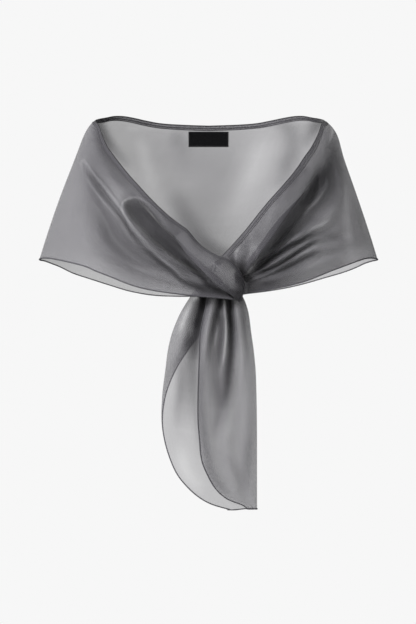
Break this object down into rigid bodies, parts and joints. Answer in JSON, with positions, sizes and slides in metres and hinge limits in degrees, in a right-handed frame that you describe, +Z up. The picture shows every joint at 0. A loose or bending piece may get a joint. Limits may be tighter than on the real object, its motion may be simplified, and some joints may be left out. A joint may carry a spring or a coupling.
{
  "type": "evening stole",
  "caption": "Sheer organza evening stole worn round the shoulders, knotted at the front with one end hanging, keeping its hollow worn form.",
  "frame": {"origin": "at the shoulders that hold the stole up, midway from side to side and level with the lowest part of its upper edge at the back", "axes": "+X to the right as seen from the front, +Y towards the back, +Z up; the front faces -Y"},
  "size_m": [0.4722, 0.2773, 0.5442],
  "materials": {
    "organza": "sheer, with a soft sheen",
    "doubled_organza": "sheer, doubled and pressed",
    "label_satin": "woven satin"
  },
  "bodies": {
    "root": {"back": "organza", "over_front": "organza", "under_front": "organza", "knot_band": "organza", "tail": "organza", "band_back": "doubled_organza", "band_over_front": "doubled_organza", "band_under_front": "doubled_organza", "label": "label_satin"}
  },
  "joints": []
}
